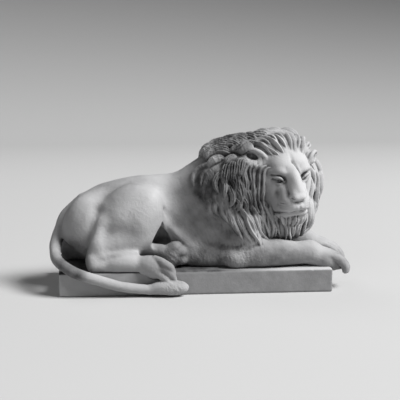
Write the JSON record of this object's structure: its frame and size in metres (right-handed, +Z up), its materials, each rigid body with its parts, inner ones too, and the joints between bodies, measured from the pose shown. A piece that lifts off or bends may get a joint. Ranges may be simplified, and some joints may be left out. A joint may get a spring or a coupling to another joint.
{
  "type": "recumbent lion figurine",
  "caption": "Plaster lion lying on a low rectangular plinth, head turned to its right, paws over one end and tail along the front edge.",
  "frame": {"origin": "middle of the plinth's underside", "axes": "+X from the lion's tail to its forepaws, -Y the way its face looks, +Z up"},
  "size_m": [0.2461, 0.0994, 0.1286],
  "materials": {
    "lion_plaster": "dry cast plaster, matte grey, lightly stippled on the fur",
    "plinth_plaster": "dry cast plaster, matte grey, rubbed flat with softened edges"
  },
  "bodies": {
    "root": {"lion": "lion_plaster", "plinth": "plinth_plaster"}
  },
  "joints": []
}
